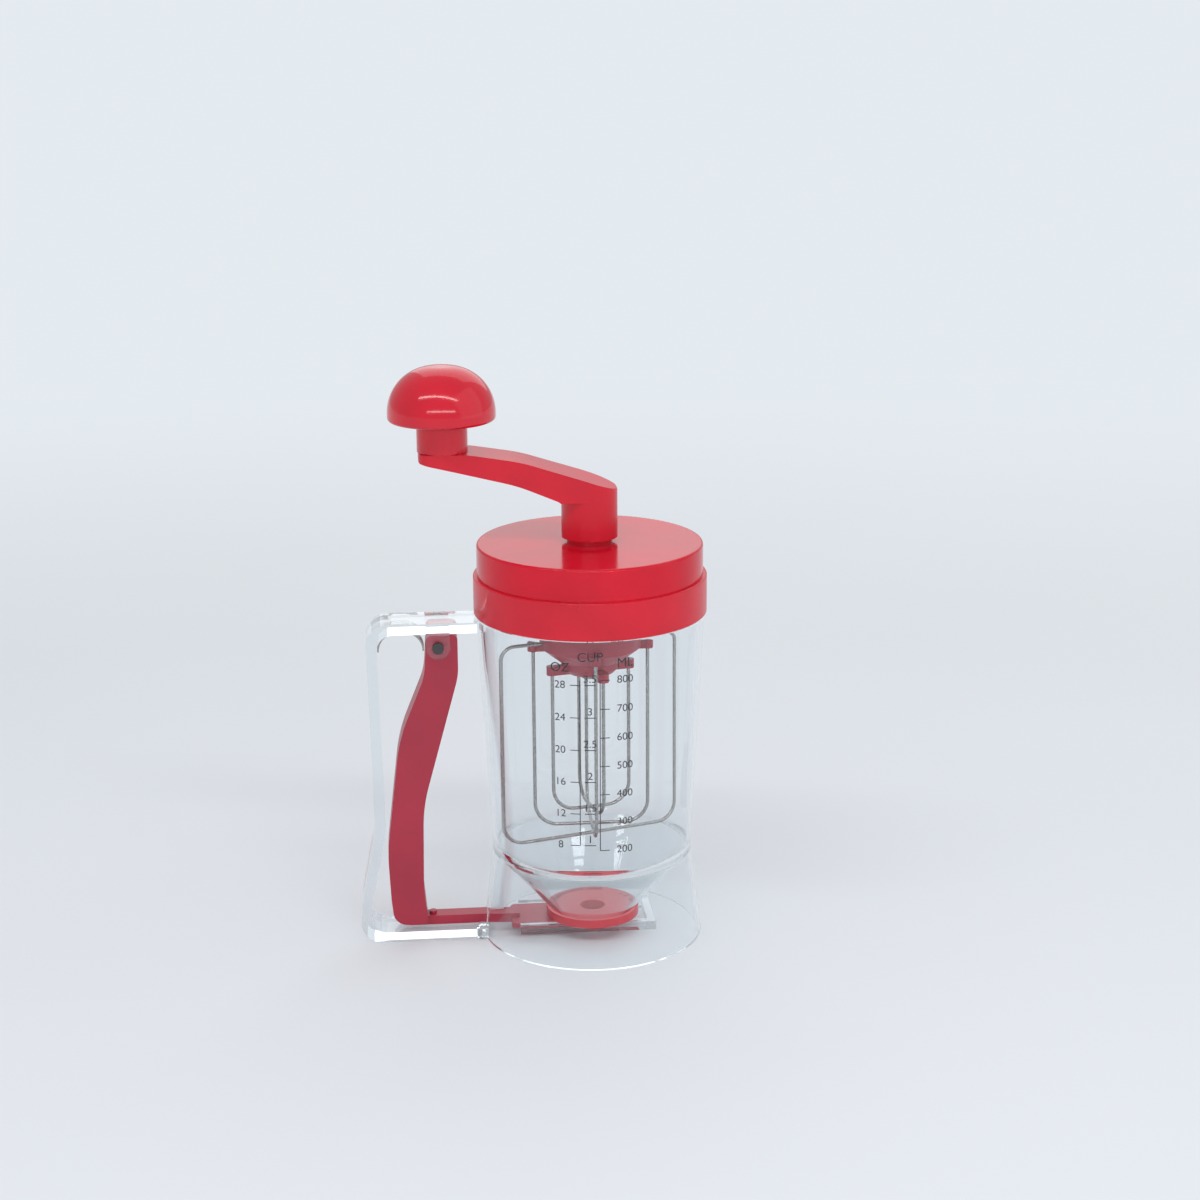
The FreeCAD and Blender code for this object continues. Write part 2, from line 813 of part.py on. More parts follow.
def make_crank_arm():
    body = new_body("crank_arm")
    edge = g.hub_radius
    end_reach = g.arm_reach + g.arm_boss_radius
    end_bottom = arm_end_top - g.arm_tip
    slab(body, "side", [
        (edge, hub_bottom),
        (edge, hub_top, g.hub_top_edge),
        (-g.hub_edge, hub_top + g.arm_swell, g.arm_bend / 2),
        (-(g.arm_reach * 0.47), end_bottom, g.arm_bend),
        (-(g.arm_reach * 0.82), arm_end_top, g.arm_bend / 2),
        (-end_reach, arm_end_top, g.arm_edge),
        (-end_reach, end_bottom, g.arm_edge),
        (-(g.arm_reach * 0.92), end_bottom - g.arm_tip, g.arm_bend / 2),
        (-(g.arm_reach * 0.5), end_bottom - g.arm_middle, g.arm_bend),
        (-edge, hub_bottom + g.hub_flank, g.hub_top_edge * 3),
        (-edge, hub_bottom),
    ], edge * 2)
    # The plan is round about the hub and narrows in straight lines towards the knob.
    top = arm_end_top + g.arm_middle
    taper = (g.hub_radius - g.arm_boss_radius) / g.arm_reach
    slope = root_of(1 - taper * taper)
    hub_half = (g.hub_radius + edge * taper) / slope
    end_half = (g.hub_radius - end_reach * taper) / slope
    trim = new_sketch(body, "plan_trim", "XY_Plane", top)
    add_outline(trim, box_corners(-(end_reach + edge), edge * 2, -edge * 2, edge * 2))
    add_outline(trim, [
        (edge, -hub_half, g.hub_radius * 0.96),
        (edge, hub_half, g.hub_radius * 0.96),
        (-end_reach, end_half, g.arm_boss_radius * 0.5),
        (-end_reach, -end_half, g.arm_boss_radius * 0.5),
    ])
    extrude(body, "plan_cut", trim, top - hub_bottom, cut=True)
    plan(body, "hub_back", [
        (ZERO, edge),
        (-edge, edge, edge * 0.98),
        (-edge, -edge, edge * 0.98),
        (ZERO, -edge),
        (ZERO, -edge * 2),
        (-edge * 2, -edge * 2),
        (-edge * 2, edge * 2),
        (ZERO, edge * 2),
    ], hub_bottom, g.hub_flank, cut=True)
    plan_circle(body, "shaft_bore", 0, 0, g.shaft_radius, hub_bottom, shaft_top - hub_bottom,
                cut=True)
    plan_circle(body, "axle_bore", -g.arm_reach, 0, g.axle_radius, arm_end_top - g.axle_grip,
                g.axle_grip + g.arm_tip, cut=True)
    return body


def make_drive_shaft():
    body = new_body("drive_shaft")
    plan_circle(body, "rod", 0, 0, g.shaft_radius, inner_hub_bottom,
                shaft_top - inner_hub_bottom)
    return body


knob_bottom = arm_end_top + g.seat_gap
knob_rim_height = knob_bottom + g.knob_shank_height
axle_head_bottom = knob_rim_height + g.axle_head


def make_knob_axle():
    body = new_body("knob_axle")
    foot = arm_end_top - g.axle_grip
    plan_circle(body, "stem", -g.arm_reach, 0, g.axle_radius, foot, axle_head_bottom - foot)
    plan_circle(body, "head", -g.arm_reach, 0, g.axle_head_radius, axle_head_bottom, g.axle_head)
    return body


def move_to_knob(body):
    body.Placement = FreeCAD.Placement(
        FreeCAD.Vector(-g.arm_reach.number, 0, 0), FreeCAD.Rotation()
    )
    bind(body, "Placement.Base.x", -g.arm_reach)


def make_knob_shank():
    body = new_body("knob_shank")
    bore = g.axle_radius + g.running_fit
    revolve(body, "sleeve", [
        (bore, knob_bottom),
        (g.knob_shank_radius, knob_bottom),
        (g.knob_shank_radius, knob_rim_height),
        (bore, knob_rim_height),
    ])
    move_to_knob(body)
    return body


def make_knob_dome():
    body = new_body("knob_dome")
    rim = knob_rim_height
    bore = g.axle_radius + g.running_fit
    cavity = g.axle_head_radius + g.side_gap
    cavity_bottom = axle_head_bottom - g.seat_gap
    cavity_top = cavity_bottom + g.axle_head + g.side_gap
    revolve(body, "shell", [
        (bore, rim),
        (g.knob_radius, rim, g.knob_rim),
        (g.knob_radius, rim + g.knob_radius, g.knob_radius - g.knob_rim * 2),
        (ZERO, rim + g.knob_radius),
        (ZERO, cavity_top),
        (cavity, cavity_top),
        (cavity, cavity_bottom),
        (bore, cavity_bottom),
    ])
    move_to_knob(body)
    return body


# Gears

def tooth_corners(pitch, tip, root, tip_half, root_half):
    """A straight-flanked tooth that points along X, with its root sunk a little into the rim."""
    half = g.gear_module * math.pi / 4 - g.tooth_backlash / 4
    return [(root, -root_half), (pitch, -half), (tip, -tip_half),
            (tip, tip_half), (pitch, half), (root, root_half)]


def external_gear(label, teeth, bore):
    body = new_body(label)
    pitch = g.gear_module * teeth / 2
    root = pitch - g.tooth_dedendum
    tip = pitch + g.tooth_addendum
    revolve(body, "blank", [
        (bore, gear_bottom), (root, gear_bottom), (root, gear_top), (bore, gear_top),
    ])
    half = g.gear_module * math.pi / 4 - g.tooth_backlash / 4
    tooth = plan(body, "tooth", tooth_corners(
        pitch, tip, root - g.tooth_addendum / 2, half * 0.62, half
    ), gear_bottom, g.gear_face)
    around(body, "teeth", [tooth], teeth)
    return body


def make_sun_gear():
    return external_gear("sun_gear", g.sun_teeth, g.shaft_radius)


def make_planet_gear(index):
    """A planet with a gap towards the sun's tooth and a gap towards the ring's tooth."""
    half_tooth = 180.0 / SIZES["planet_teeth"]
    body = external_gear(f"planet_gear_{index}", g.planet_teeth,
                         g.planet_pin_radius + g.running_fit)
    bearing = 360.0 / PLANETS * (index - 1)
    spot = FreeCAD.Rotation(FreeCAD.Vector(0, 0, 1), bearing).multVec(
        FreeCAD.Vector(planet_circle.number, 0, 0)
    )
    body.Placement = FreeCAD.Placement(
        spot, FreeCAD.Rotation(FreeCAD.Vector(0, 0, 1), bearing + half_tooth)
    )
    bind(body, "Placement.Base.x", planet_circle * math.cos(math.radians(bearing)))
    bind(body, "Placement.Base.y", planet_circle * math.sin(math.radians(bearing)))
    return body


def make_ring_gear():
    body = new_body("ring_gear")
    bore = g.shaft_radius + g.running_fit
    sleeve = bore + g.ring_wall
    pitch = g.gear_module * ring_teeth / 2
    root = pitch + g.tooth_dedendum
    rim = root + g.ring_wall
    revolve(body, "cup", [
        (bore, g.drum_bottom), (sleeve, g.drum_bottom), (sleeve, ring_bottom),
        (rim, ring_bottom), (rim, gear_top), (root, gear_top),
        (root, ring_bottom + g.ring_floor), (bore, ring_bottom + g.ring_floor),
    ])
    half = g.gear_module * math.pi / 4 - g.tooth_backlash / 4
    tooth = plan(body, "tooth", tooth_corners(
        pitch, pitch - g.tooth_addendum, root + g.tooth_addendum / 2, half * 0.7, half * 1.35
    ), ring_bottom + g.ring_floor, gear_top - ring_bottom - g.ring_floor)
    around(body, "teeth", [tooth], ring_teeth)
    return body


# Whisks

def add_wire_bosses(body, reach, bottom, inner_start):
    half = g.boss_radius * 0.8
    arm = plan(body, "arm", box_corners(inner_start, reach, -half, half), bottom, g.boss_height)
    boss = plan_circle(body, "boss", reach, 0, g.boss_radius, bottom, g.boss_height)
    around(body, "arms", [arm, boss], WHISK_ARMS)


def make_outer_hub():
    body = new_body("outer_whisk_hub")
    bore = g.shaft_radius + g.running_fit + g.ring_wall
    low = g.drum_radius - g.drum_taper_inset
    top = web_bottom - g.side_gap * 4
    knee = g.drum_bottom + g.drum_taper
    revolve(body, "drum", [
        (bore, g.drum_bottom),
        (low, g.drum_bottom),
        (g.drum_radius, knee),
        (g.drum_radius, top, g.cap_edge / 2),
        (g.drum_radius - g.drum_wall, top),
        (g.drum_radius - g.drum_wall, knee + g.drum_wall),
        (bore, knee + g.drum_wall),
    ])
    add_wire_bosses(body, g.outer_wire_reach, g.outer_boss_bottom, g.drum_radius - g.drum_wall)
    return body


def make_inner_hub():
    body = new_body("inner_whisk_hub")
    edge = g.inner_hub_radius
    revolve(body, "disc", [
        (g.shaft_radius, inner_hub_bottom),
        (edge - g.hub_edge, inner_hub_bottom),
        (edge, inner_hub_bottom + g.hub_edge),
        (edge, inner_hub_top),
        (g.shaft_radius, inner_hub_top),
    ])
    add_wire_bosses(body, g.inner_wire_reach, inner_hub_bottom, edge - g.hub_edge * 2)
    turn_body(body, INNER_WHISK_TURN)
    return body


def whisk_wires(label, reach, top, bottom):
    """Four wires that meet crosswise under the axis: two U-shaped loops, welded where they cross."""
    body = new_body(label)
    wire_run(body, "loop", [
        (-reach, top),
        (-reach, bottom, g.whisk_corner),
        (reach, bottom, g.whisk_corner),
        (reach, top),
    ], g.whisk_wire_radius)
    loop = body.Tip
    around(body, "loops", [loop], WHISK_ARMS / 2, sweep=90)
    return body


def make_outer_wires():
    return whisk_wires("outer_whisk_wires", g.outer_wire_reach, g.outer_boss_bottom,
                       g.outer_wire_bottom)


def make_inner_wires():
    body = whisk_wires("inner_whisk_wires", g.inner_wire_reach, inner_hub_bottom,
                       g.inner_wire_bottom)
    turn_body(body, INNER_WHISK_TURN)
    return body


def make_scraper():
    body = new_body("scraper_wire")
    reach = g.scraper_reach
    wire_run(body, "frame", [
        (-g.drum_radius, g.scraper_top),
        (-reach, g.scraper_top, g.scraper_corner),
        (-reach, g.scraper_bottom, g.scraper_corner * 1.5),
        (reach, g.scraper_bottom, g.scraper_corner * 1.5),
        (reach, g.scraper_top, g.scraper_corner),
        (g.drum_radius, g.scraper_top),
    ], g.whisk_wire_radius)
    turn_body(body, SCRAPER_TURN)
    return body


def make_whisk_screw():
    body = new_body("whisk_screw")
    bottom = inner_hub_bottom - g.screw_head
    plan_circle(body, "head", 0, 0, g.screw_head_radius, bottom, g.screw_head)
    return body


# Build, check and write the pieces

MAKERS = [
    make_jar, make_nozzle_plate, make_nozzle_seal, make_gate_guide,
    make_handle, make_trigger_pin, make_trigger_lever, make_return_spring, make_gate_slide,
    make_lid_ring, make_lid_seal, make_lid_cap, make_lid_floor, make_gear_plate, make_shaft_bush,
    make_crank_arm, make_drive_shaft, make_knob_axle, make_knob_shank, make_knob_dome,
    make_sun_gear, make_ring_gear,
    make_outer_hub, make_outer_wires, make_scraper,
    make_inner_hub, make_inner_wires, make_whisk_screw,
]
pieces = [make() for make in MAKERS]
for number in range(1, PLANETS + 1):
    pieces.append(make_planet_pin(number))
    pieces.append(make_planet_gear(number))
doc.recompute()

for entry in doc.Objects:
    if "Invalid" in entry.State or "Error" in entry.State:
        raise RuntimeError(f"{entry.Label} failed: {entry.State}")
for piece in pieces:
    if piece.Shape.isNull() or not piece.Shape.isValid() or not piece.Shape.Solids:
        raise RuntimeError(f"{piece.Label} has no valid solid")

os.makedirs("parts", exist_ok=True)
for piece in pieces:
    piece.Shape.exportStep(f"parts/{piece.Label}.step")
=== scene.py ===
import math

import bmesh
import bpy
from mathutils import Matrix, Vector


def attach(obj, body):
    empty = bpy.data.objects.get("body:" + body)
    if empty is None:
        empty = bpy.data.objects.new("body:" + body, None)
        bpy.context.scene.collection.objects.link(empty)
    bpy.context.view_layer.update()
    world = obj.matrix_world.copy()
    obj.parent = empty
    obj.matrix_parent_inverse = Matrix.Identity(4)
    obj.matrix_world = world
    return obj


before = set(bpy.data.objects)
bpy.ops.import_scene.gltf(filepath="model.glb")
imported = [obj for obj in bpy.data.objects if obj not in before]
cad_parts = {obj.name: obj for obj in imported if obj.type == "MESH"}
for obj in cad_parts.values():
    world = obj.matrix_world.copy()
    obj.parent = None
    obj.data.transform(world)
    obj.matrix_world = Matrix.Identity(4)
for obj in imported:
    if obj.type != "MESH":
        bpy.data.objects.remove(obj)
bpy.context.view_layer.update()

# Camera, fitted to the photograph: metres and degrees
CAMERA_EAST = -0.0891
CAMERA_BACK = 1.0574
CAMERA_HEIGHT = 0.4656
CAMERA_PITCH = 15.78
CAMERA_YAW = 5.07
CAMERA_ROLL = -0.38
LENS_MM = 70.1
SENSOR_MM = 36.0

# Linear colours
RED = (0.64, 0.006, 0.024)
RED_DEEP = (0.40, 0.018, 0.045)
PRINT_GREY = (0.035, 0.035, 0.045)
STEEL = (0.40, 0.39, 0.38)
DARK_STEEL = (0.10, 0.10, 0.10)
WHITE_PLASTIC = (0.80, 0.79, 0.76)
SILICONE = (0.70, 0.69, 0.66)
FLOOR = (0.80, 0.83, 0.86)
BACKDROP = (0.78, 0.83, 0.87)

SKY_TINT = (0.94, 0.96, 1.0)
THIN_TINT = (0.95, 0.97, 0.98)
THICK_TINT = (0.90, 0.935, 0.95)
SEE_THROUGH_TINT = (0.95, 0.965, 0.97)

MM = 0.001

# Material detail: a noise scale counts cells per metre
RAMP_START = 0.3
RAMP_END = 0.7
FLOW_SCALE = 38.0
FLOW_DARKER = 0.90
FLOW_LIGHTER = 1.06
GRAIN_SCALE = 1900.0
GRAIN_DEPTH = 0.1 * MM
COAT_ROUGHNESS = 0.06
PLASTIC_IOR = 1.46
RIPPLE_SCALE = 26.0
RIPPLE_DEPTH = 2.0 * MM
RIPPLE_ROUGHNESS = 0.035
DRAWING_SCALE = 900.0
DRAWING_BUMP = 0.08
DRAWING_DARKER = 0.8
DRAWING_SMOOTHER = 0.6
DRAWING_ROUGHER = 1.5
INK_SCALE = 2500.0
INK_DARKER = 0.6
INK_ROUGHNESS = (0.35, 0.6)
# A ray that has bounced more often than this in clear plastic leaves it in a straight line.
TRAPPED_DEPTH = 3.0

# Floor and light
WORLD_LIGHT = 0.55
FLOOR_HALF = 9.0
FLOOR_DROP = 0.2 * MM
FLOOR_MOTTLE = 3.0
FLOOR_LIGHTER = 1.02
FLOOR_ROUGHNESS = 0.9
FADE_START = 0.45
FADE_END = 1.5
# name, place, point that it faces, width, height or None where square, watts
LAMPS = [
    ("key", (-0.22, -1.0, 1.60), (0, 0, 0.14), 2.6, 0.13, 11),
    ("strip", (-0.08, -1.25, 0.62), (0, 0, 0.14), 1.5, 0.08, 3),
    ("fill", (1.6, -0.7, 1.0), (0, 0, 0.12), 2.2, None, 6),
    ("back", (0.3, 1.4, 1.3), (0, 0, 0.15), 1.8, None, 8),
]


# Materials

def new_material(name):
    material = bpy.data.materials.new(name)
    material.use_nodes = True
    return material, material.node_tree, material.node_tree.nodes["Principled BSDF"]


def noise(tree, scale, detail, roughness=0.5):
    """A noise factor from 0 to 1 that stays with the object."""
    coordinates = tree.nodes.new("ShaderNodeTexCoord")
    texture = tree.nodes.new("ShaderNodeTexNoise")
    texture.inputs["Scale"].default_value = scale
    texture.inputs["Detail"].default_value = detail
    texture.inputs["Roughness"].default_value = roughness
    tree.links.new(coordinates.outputs["Object"], texture.inputs["Vector"])
    return texture.outputs["Fac"]


def ramp(tree, source, low, high):
    """A colour that goes from low to high across the middle of a factor."""
    node = tree.nodes.new("ShaderNodeValToRGB")
    node.color_ramp.elements[0].position = RAMP_START
    node.color_ramp.elements[1].position = RAMP_END
    node.color_ramp.elements[0].color = (*low, 1)
    node.color_ramp.elements[1].color = (*high, 1)
    tree.links.new(source, node.inputs["Fac"])
    return node.outputs["Color"]


def spread(tree, source, low, high):
    """A number that goes from low to high with a factor."""
    node = tree.nodes.new("ShaderNodeMapRange")
    node.inputs["To Min"].default_value = low
    node.inputs["To Max"].default_value = high
    tree.links.new(source, node.inputs["Value"])
    return node.outputs["Result"]


def maths(tree, operation, first, second):
    """A maths node whose second entry is a socket or a number."""
    node = tree.nodes.new("ShaderNodeMath")
    node.operation = operation
    tree.links.new(first, node.inputs[0])
    if isinstance(second, (int, float)):
        node.inputs[1].default_value = second
    else:
        tree.links.new(second, node.inputs[1])
    return node.outputs["Value"]


def bump(tree, shader, source, strength, distance):
    node = tree.nodes.new("ShaderNodeBump")
    node.inputs["Strength"].default_value = strength
    node.inputs["Distance"].default_value = distance
    tree.links.new(source, node.inputs["Height"])
    tree.links.new(node.outputs["Normal"], shader.inputs["Normal"])


def shaded(colour, factor):
    return tuple(min(1.0, channel * factor) for channel in colour)


def moulded_plastic(name, colour, roughness, coat, grain, shine=0.5):
    """Moulded plastic: faint flow clouds in the colour, fine grain and uneven gloss.

    The roughness is a pair, its lowest and highest values.
    """
    material, tree, shader = new_material(name)
    flow = noise(tree, FLOW_SCALE, detail=2.0)
    fine = noise(tree, GRAIN_SCALE, detail=2.0)
    clouds = ramp(tree, flow, shaded(colour, FLOW_DARKER), shaded(colour, FLOW_LIGHTER))
    tree.links.new(clouds, shader.inputs["Base Color"])
    tree.links.new(spread(tree, flow, *roughness), shader.inputs["Roughness"])
    shader.inputs["Coat Weight"].default_value = coat
    shader.inputs["Coat Roughness"].default_value = COAT_ROUGHNESS
    shader.inputs["Specular IOR Level"].default_value = shine
    bump(tree, shader, fine, grain, GRAIN_DEPTH)
    return material


def clear_plastic(name, tint, ripple):
    """Clear moulded plastic with slow ripples from the mould.

    Shadow and diffuse rays pass straight through, and so does a ray that the walls have trapped.
    """
    material, tree, shader = new_material(name)
    shader.inputs["Base Color"].default_value = (*tint, 1)
    shader.inputs["Transmission Weight"].default_value = 1.0
    shader.inputs["IOR"].default_value = PLASTIC_IOR
    waves = noise(tree, RIPPLE_SCALE, detail=1.0)
    tree.links.new(spread(tree, waves, 0.0, RIPPLE_ROUGHNESS), shader.inputs["Roughness"])
    bump(tree, shader, waves, ripple, RIPPLE_DEPTH)
    path = tree.nodes.new("ShaderNodeLightPath")
    trapped = maths(tree, "GREATER_THAN", path.outputs["Ray Depth"], TRAPPED_DEPTH)
    soft = maths(tree, "MAXIMUM", path.outputs["Is Shadow Ray"], path.outputs["Is Diffuse Ray"])
    straight = maths(tree, "MAXIMUM", soft, trapped)
    see_through = tree.nodes.new("ShaderNodeBsdfTransparent")
    see_through.inputs["Color"].default_value = (*SEE_THROUGH_TINT, 1)
    mix = tree.nodes.new("ShaderNodeMixShader")
    output = tree.nodes["Material Output"]
    tree.links.new(straight, mix.inputs["Fac"])
    tree.links.new(shader.outputs["BSDF"], mix.inputs[1])
    tree.links.new(see_through.outputs["BSDF"], mix.inputs[2])
    tree.links.new(mix.outputs["Shader"], output.inputs["Surface"])
    return material


def drawn_steel(name, colour, roughness):
    """Steel wire and pins with fine drawing lines."""
    material, tree, shader = new_material(name)
    shader.inputs["Metallic"].default_value = 1.0
    lines = noise(tree, DRAWING_SCALE, detail=4.0, roughness=0.6)
    tone = ramp(tree, lines, shaded(colour, DRAWING_DARKER), colour)
    tree.links.new(tone, shader.inputs["Base Color"])
    uneven = spread(tree, lines, roughness * DRAWING_SMOOTHER, roughness * DRAWING_ROUGHER)
    tree.links.new(uneven, shader.inputs["Roughness"])
    bump(tree, shader, lines, DRAWING_BUMP, GRAIN_DEPTH)
    return material


def printed_ink(name, colour):
    """Dull ink with a fine broken tone."""
    material, tree, shader = new_material(name)
    grain = noise(tree, INK_SCALE, detail=2.0)
    tone = ramp(tree, grain, shaded(colour, INK_DARKER), colour)
    tree.links.new(tone, shader.inputs["Base Color"])
    tree.links.new(spread(tree, grain, *INK_ROUGHNESS), shader.inputs["Roughness"])
    return material


MATERIALS = {
    "knob": moulded_plastic("red_gloss", RED, (0.09, 0.14), coat=0.15, grain=0.01, shine=0.45),
    "lid_top": moulded_plastic("red_lid_top", RED, (0.12, 0.18), coat=0.0, grain=0.01, shine=0.3),
    "lid": moulded_plastic("red_satin", RED, (0.24, 0.34), coat=0.05, grain=0.06, shine=0.4),
    "grip": moulded_plastic("red_grip", RED_DEEP, (0.34, 0.46), coat=0.10, grain=0.16),
    "clear": clear_plastic("clear_jar", THIN_TINT, ripple=0.05),
    "clear_thick": clear_plastic("clear_handle", THICK_TINT, ripple=0.07),
    "steel": drawn_steel("steel_wire", STEEL, roughness=0.24),
    "dark_steel": drawn_steel("steel_pin", DARK_STEEL, roughness=0.4),
    "white": moulded_plastic("inner_white", WHITE_PLASTIC, (0.35, 0.5), coat=0.05, grain=0.1),
    "silicone": moulded_plastic("silicone", SILICONE, (0.5, 0.65), coat=0.0, grain=0.2),
    "ink": printed_ink("scale_ink", PRINT_GREY),
}

NODE_FINISH = {
    "knob": ["knob_dome", "knob_shank"],
    "lid_top": ["lid_cap"],
    "lid": ["lid_ring", "nozzle_plate", "shaft_bush", "crank_arm"],
    "grip": ["trigger_lever", "gate_slide", "outer_whisk_hub", "inner_whisk_hub"],
    "clear": ["jar_body"],
    "clear_thick": ["handle_frame", "gate_guide"],
    "dark_steel": ["trigger_pin"],
    "steel": ["return_spring", "drive_shaft", "knob_axle", "outer_whisk_wires",
              "inner_whisk_wires", "scraper_wire", "whisk_screw",
              "planet_pin_1", "planet_pin_2", "planet_pin_3"],
    "white": ["lid_floor", "gear_plate", "sun_gear", "ring_gear",
              "planet_gear_1", "planet_gear_2", "planet_gear_3"],
    "silicone": ["nozzle_seal", "lid_seal"],
}


def finish_nodes():
    """Gives every solid from the frame its material."""
    for finish, nodes in NODE_FINISH.items():
        for node in nodes:
            piece = bpy.data.objects[node]
            piece.data.materials.clear()
            piece.data.materials.append(MATERIALS[finish])


# Camera, light and floor

def add_camera():
    """Aims the camera by yaw and pitch, then rolls it about its own line of sight."""
    data = bpy.data.cameras.new("camera")
    data.lens = LENS_MM
    data.sensor_width = SENSOR_MM
    camera = bpy.data.objects.new("camera", data)
    bpy.context.scene.collection.objects.link(camera)
    yaw = math.radians(CAMERA_YAW)
    pitch = math.radians(CAMERA_PITCH)
    ahead = Vector((math.sin(yaw) * math.cos(pitch), math.cos(yaw) * math.cos(pitch),
                    -math.sin(pitch)))
    turn = ahead.to_track_quat("-Z", "Y").to_matrix().to_4x4()
    roll = Matrix.Rotation(math.radians(CAMERA_ROLL), 4, "Z")
    spot = Matrix.Translation((CAMERA_EAST, -CAMERA_BACK, CAMERA_HEIGHT))
    camera.matrix_world = spot @ turn @ roll
    bpy.context.scene.camera = camera


def add_lamps():
    for name, spot, aim, width, height, watts in LAMPS:
        data = bpy.data.lights.new(name, "AREA")
        data.energy = watts
        data.size = width
        if height is not None:
            data.shape = "RECTANGLE"
            data.size_y = height
        lamp = bpy.data.objects.new(name, data)
        lamp.location = spot
        facing = Vector(aim) - Vector(spot)
        lamp.rotation_euler = facing.to_track_quat("-Z", "Y").to_euler()
        bpy.context.scene.collection.objects.link(lamp)


def add_world():
    """Plain light from all sides, with the backdrop's colour where the world itself is seen."""
    world = bpy.data.worlds.new("studio")
    bpy.context.scene.world = world
    world.use_nodes = True
    tree = world.node_tree
    tree.nodes.clear()
    path = tree.nodes.new("ShaderNodeLightPath")
    plain = tree.nodes.new("ShaderNodeBackground")
    plain.inputs["Color"].default_value = (*SKY_TINT, 1)
    plain.inputs["Strength"].default_value = WORLD_LIGHT
    shown = tree.nodes.new("ShaderNodeBackground")
    shown.inputs["Color"].default_value = (*BACKDROP, 1)
    shown.inputs["Strength"].default_value = 1.0
    seen = maths(tree, "MAXIMUM", path.outputs["Is Camera Ray"],
                 path.outputs["Is Transmission Ray"])
    mix = tree.nodes.new("ShaderNodeMixShader")
    output = tree.nodes.new("ShaderNodeOutputWorld")
    tree.links.new(seen, mix.inputs["Fac"])
    tree.links.new(plain.outputs["Background"], mix.inputs[1])
    tree.links.new(shown.outputs["Background"], mix.inputs[2])
    tree.links.new(mix.outputs["Shader"], output.inputs["Surface"])


def floor_paper():
    """Faintly mottled paper that fades into the backdrop's colour away from the object."""
    material, tree, shader = new_material("floor_paper")
    mottle = noise(tree, FLOOR_MOTTLE, detail=2.0)
    tone = ramp(tree, mottle, FLOOR, shaded(FLOOR, FLOOR_LIGHTER))
    tree.links.new(tone, shader.inputs["Base Color"])
    shader.inputs["Roughness"].default_value = FLOOR_ROUGHNESS
    coordinates = tree.nodes.new("ShaderNodeTexCoord")
    distance = tree.nodes.new("ShaderNodeVectorMath")
    distance.operation = "LENGTH"
    fade = tree.nodes.new("ShaderNodeMapRange")
    fade.interpolation_type = "SMOOTHSTEP"
    fade.inputs["From Min"].default_value = FADE_START
    fade.inputs["From Max"].default_value = FADE_END
    glow = tree.nodes.new("ShaderNodeEmission")
    glow.inputs["Color"].default_value = (*BACKDROP, 1)
    mix = tree.nodes.new("ShaderNodeMixShader")
    output = tree.nodes["Material Output"]
    tree.links.new(coordinates.outputs["Object"], distance.inputs[0])
    tree.links.new(distance.outputs["Value"], fade.inputs["Value"])
    tree.links.new(fade.outputs["Result"], mix.inputs["Fac"])
    tree.links.new(shader.outputs["BSDF"], mix.inputs[1])
    tree.links.new(glow.outputs["Emission"], mix.inputs[2])
    tree.links.new(mix.outputs["Shader"], output.inputs["Surface"])
    return material


def add_floor():
    mesh = bpy.data.meshes.new("floor")
    signs = [(-1, -1), (1, -1), (1, 1), (-1, 1)]
    corners = [(east * FLOOR_HALF, north * FLOOR_HALF, 0) for east, north in signs]
    mesh.from_pydata(corners, [], [(0, 1, 2, 3)])
    floor = bpy.data.objects.new("floor", mesh)
    floor.location.z = -FLOOR_DROP
    bpy.context.scene.collection.objects.link(floor)
    mesh.materials.append(floor_paper())


def new_piece(name, form, material):
    """Turns a finished bmesh into an object with one material."""
    mesh = bpy.data.meshes.new(name)
    form.to_mesh(mesh)
    form.free()
    mesh.materials.append(material)
    piece = bpy.data.objects.new(name, mesh)
    bpy.context.scene.collection.objects.link(piece)
    return piece


# Printed scale

SCALE_LIFT = 0.08 * MM
SCALE_CENTRE = -4.8 * MM
SCALE_LINE = 0.42 * MM
BAR_STEP = 4 * MM
OUNCE_LINE = -4.7 * MM
MILLILITRE_LINE = 4.6 * MM
MARK_BOTTOM = 58.5 * MM
MARK_STEP = 14.05 * MM
MARKS = 7
FIRST_MILLILITRES = 200
MILLILITRES_PER_MARK = 100
FIRST_OUNCES = 8
OUNCES_PER_MARK = 4
FIRST_CUPS = 1
CUPS_PER_MARK = 0.5
OUNCE_DROP = 2.6 * MM
OUNCE_STEP = MARK_STEP * 1.13
TICK = 5.6 * MM
TICK_SHOWN = TICK * 0.8
CUP_TICK = 2.6 * MM
CUP_RISE = 2.9 * MM
OUNCE_NUMBERS = OUNCE_LINE - TICK - 3.6 * MM
MILLILITRE_NUMBERS = MILLILITRE_LINE + TICK + 6.0 * MM
OUNCE_HEADER_RISE = 6.0 * MM
CUP_HEADER_RISE = 11.0 * MM
MILLILITRE_HEADER_RISE = 8.0 * MM
NUMBER_SIZE = 5.2 * MM
HEADER_SIZE = 6.2 * MM
# The jar's outer side above the waist is straight, with these sizes in the solids too.
WAIST_HEIGHT = 46.0 * MM
WAIST_RADIUS = 48.0 * MM
SHOULDER_HEIGHT = 161.0 * MM
SHOULDER_RADIUS = 54.2 * MM


def jar_radius(height):
    """The outer radius of the straight side above the waist."""
    share = (height - WAIST_HEIGHT) / (SHOULDER_HEIGHT - WAIST_HEIGHT)
    return WAIST_RADIUS + (SHOULDER_RADIUS - WAIST_RADIUS) * share


def wrap_on_jar(across, height):
    """A point of the flat print, bent round the jar a little off its wall."""
    radius = jar_radius(height) + SCALE_LIFT
    angle = (across + SCALE_CENTRE) / radius
    return Vector((radius * math.sin(angle), -radius * math.cos(angle), height))


